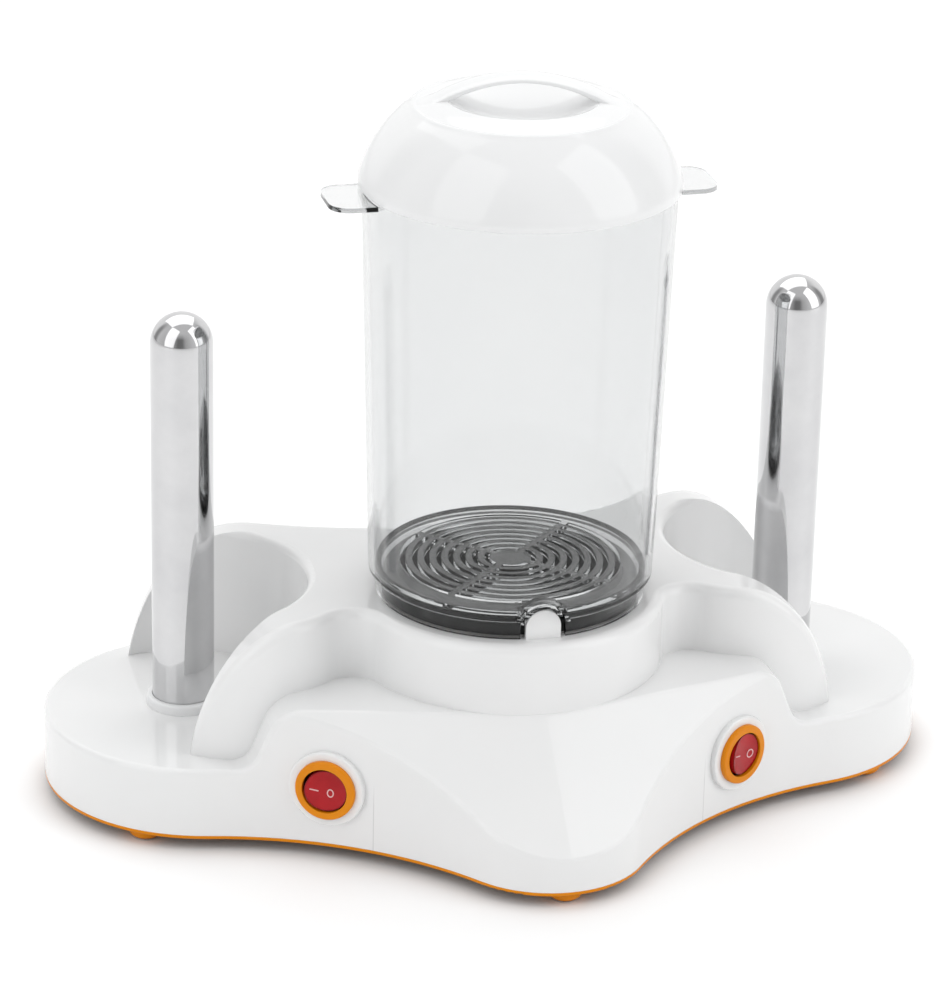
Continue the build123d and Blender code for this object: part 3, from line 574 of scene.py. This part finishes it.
def print_on_rocker(mark, name, side, finish):
    """Lay a flat mark on its rocker's curved face and give it the thickness of its print."""
    word = "left" if side < 0 else "right"
    mark.name = f"{word}_rocker_{name}"
    mark.matrix_world = rocker_frame(side) @ mark.matrix_world
    bpy.context.view_layer.update()
    wrap = mark.modifiers.new("lay on face", "SHRINKWRAP")
    wrap.target = nodes[f"{word}_rocker"]
    wrap.wrap_method = "PROJECT"
    wrap.use_project_z = True
    wrap.use_positive_direction = False
    wrap.use_negative_direction = True
    bpy.ops.object.modifier_apply(modifier=wrap.name)
    bpy.ops.object.transform_apply(location=True, rotation=True, scale=True)
    print_depth = mark.modifiers.new("print", "SOLIDIFY")
    print_depth.thickness = MARK_THICKNESS
    print_depth.offset = 1
    bpy.ops.object.modifier_apply(modifier=print_depth.name)
    mark.data.materials.append(finish)
    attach(mark, f"{word}_switch_rocker")


def rocker_line(side, finish):
    """Line mark at the left of a rocker."""
    clear_selection()
    place = (*MARK_LINE_PLACE[side], MARK_LIFT)
    bpy.ops.mesh.primitive_grid_add(
        x_subdivisions=12, y_subdivisions=2, size=2 * MARK_LINE_HALF, location=place)
    line = bpy.context.object
    bpy.ops.object.mode_set(mode="EDIT")
    bpy.ops.transform.resize(value=(1, MARK_STROKE / 2 / MARK_LINE_HALF, 1))
    bpy.ops.object.mode_set(mode="OBJECT")
    line.rotation_euler.z = MARK_LINE_TURN[side]
    bpy.context.view_layer.update()
    print_on_rocker(line, "line", side, finish)


def rocker_ring(side, finish):
    """Ring mark at the right of a rocker."""
    clear_selection()
    place = (*MARK_RING_PLACE[side], MARK_LIFT)
    wide, tall = MARK_RING_HALF[side]
    bpy.ops.mesh.primitive_circle_add(
        vertices=MARK_RING_STEPS, radius=wide, fill_type="NGON", location=place)
    ring = bpy.context.object
    bpy.ops.object.mode_set(mode="EDIT")
    bpy.ops.mesh.select_all(action="SELECT")
    bpy.ops.transform.resize(value=(1, tall / wide, 1))
    bpy.ops.mesh.inset(thickness=MARK_STROKE)
    bpy.ops.mesh.delete(type="FACE")
    bpy.ops.object.mode_set(mode="OBJECT")
    print_on_rocker(ring, "ring", side, finish)


def rocker_marks(finish):
    """Line and ring marks of both rockers."""
    for side in (-1, 1):
        rocker_line(side, finish)
        rocker_ring(side, finish)


def surround():
    """Pale room, dimmer behind the camera and in two gaps at the sides, for the bright metal to mirror."""
    world = bpy.data.worlds.new("studio surround")
    world.use_nodes = True
    tree = world.node_tree
    direction = tree.nodes.new("ShaderNodeTexCoord").outputs["Generated"]
    turn = tree.nodes.new("ShaderNodeMapping")
    turn.inputs["Rotation"].default_value = (0, 0, -CAMERA_BEARING)
    tree.links.new(direction, turn.inputs["Vector"])
    around = tree.nodes.new("ShaderNodeTexGradient")
    around.gradient_type = "RADIAL"
    tree.links.new(turn.outputs["Vector"], around.inputs["Vector"])
    bands = tree.nodes.new("ShaderNodeValToRGB")
    ramp = bands.color_ramp
    while len(ramp.elements) < len(SURROUND):
        ramp.elements.new(0.5)
    for element, (bearing, light) in zip(ramp.elements, SURROUND):
        element.position = 0.5 + bearing / 360
        element.color = (light, light, light, 1)
    tree.links.new(around.outputs["Fac"], bands.inputs["Fac"])
    overhead = spread(tree, split_axes(tree, direction)["Z"], 0, 1, OVERHEAD_START, OVERHEAD_FULL)
    background = tree.nodes["Background"]
    light = blend_colors(tree, overhead, bands.outputs["Color"], OVERHEAD_GREY)
    tree.links.new(light, background.inputs["Color"])
    background.inputs["Strength"].default_value = SURROUND_STRENGTH
    bpy.context.scene.world = world


def soft_light(name, place, target, size, power):
    """Rectangular area light that faces a target."""
    clear_selection()
    bpy.ops.object.light_add(type="AREA", location=place)
    light = bpy.context.object
    light.name = name
    light.data.shape = "RECTANGLE"
    light.data.size, light.data.size_y = size
    light.data.energy = power
    light.rotation_euler = (Vector(target) - Vector(place)).to_track_quat("-Z", "Y").to_euler()


def studio():
    """Pale floor, soft lights and the surround."""
    clear_selection()
    bpy.ops.mesh.primitive_plane_add(size=FLOOR_SIZE, location=(0, 0, 0))
    floor = bpy.context.object
    floor.name = "studio_floor"
    material, _, shader = new_material("pale floor")
    shader.inputs["Base Color"].default_value = FLOOR_WHITE
    shader.inputs["Roughness"].default_value = 0.6
    shader.inputs["Specular IOR Level"].default_value = 0.2
    floor.data.materials.append(material)
    surround()
    for name, light in SOFT_LIGHTS.items():
        soft_light(name, *light)
    bpy.context.scene.view_settings.view_transform = "Standard"


def camera():
    """Camera at the photograph's place."""
    data = bpy.data.cameras.new("photo_camera")
    data.lens = CAMERA_LENS
    data.sensor_width = CAMERA_SENSOR
    data.clip_start = CAMERA_NEAREST
    data.clip_end = CAMERA_FARTHEST
    eye = bpy.data.objects.new("photo_camera", data)
    bpy.context.scene.collection.objects.link(eye)
    turn = Matrix.Rotation(CAMERA_YAW, 4, "Z") @ Matrix.Rotation(pi / 2 + CAMERA_PITCH, 4, "X")
    eye.matrix_world = Matrix.Translation(CAMERA_PLACE) @ turn @ Matrix.Rotation(CAMERA_ROLL, 4, "Z")
    bpy.context.scene.camera = eye


clear_selection()
finishes = finish_nodes()
standing_lid(finishes["lid_plastic"])
rocker_marks(mark_print())
studio()
camera()
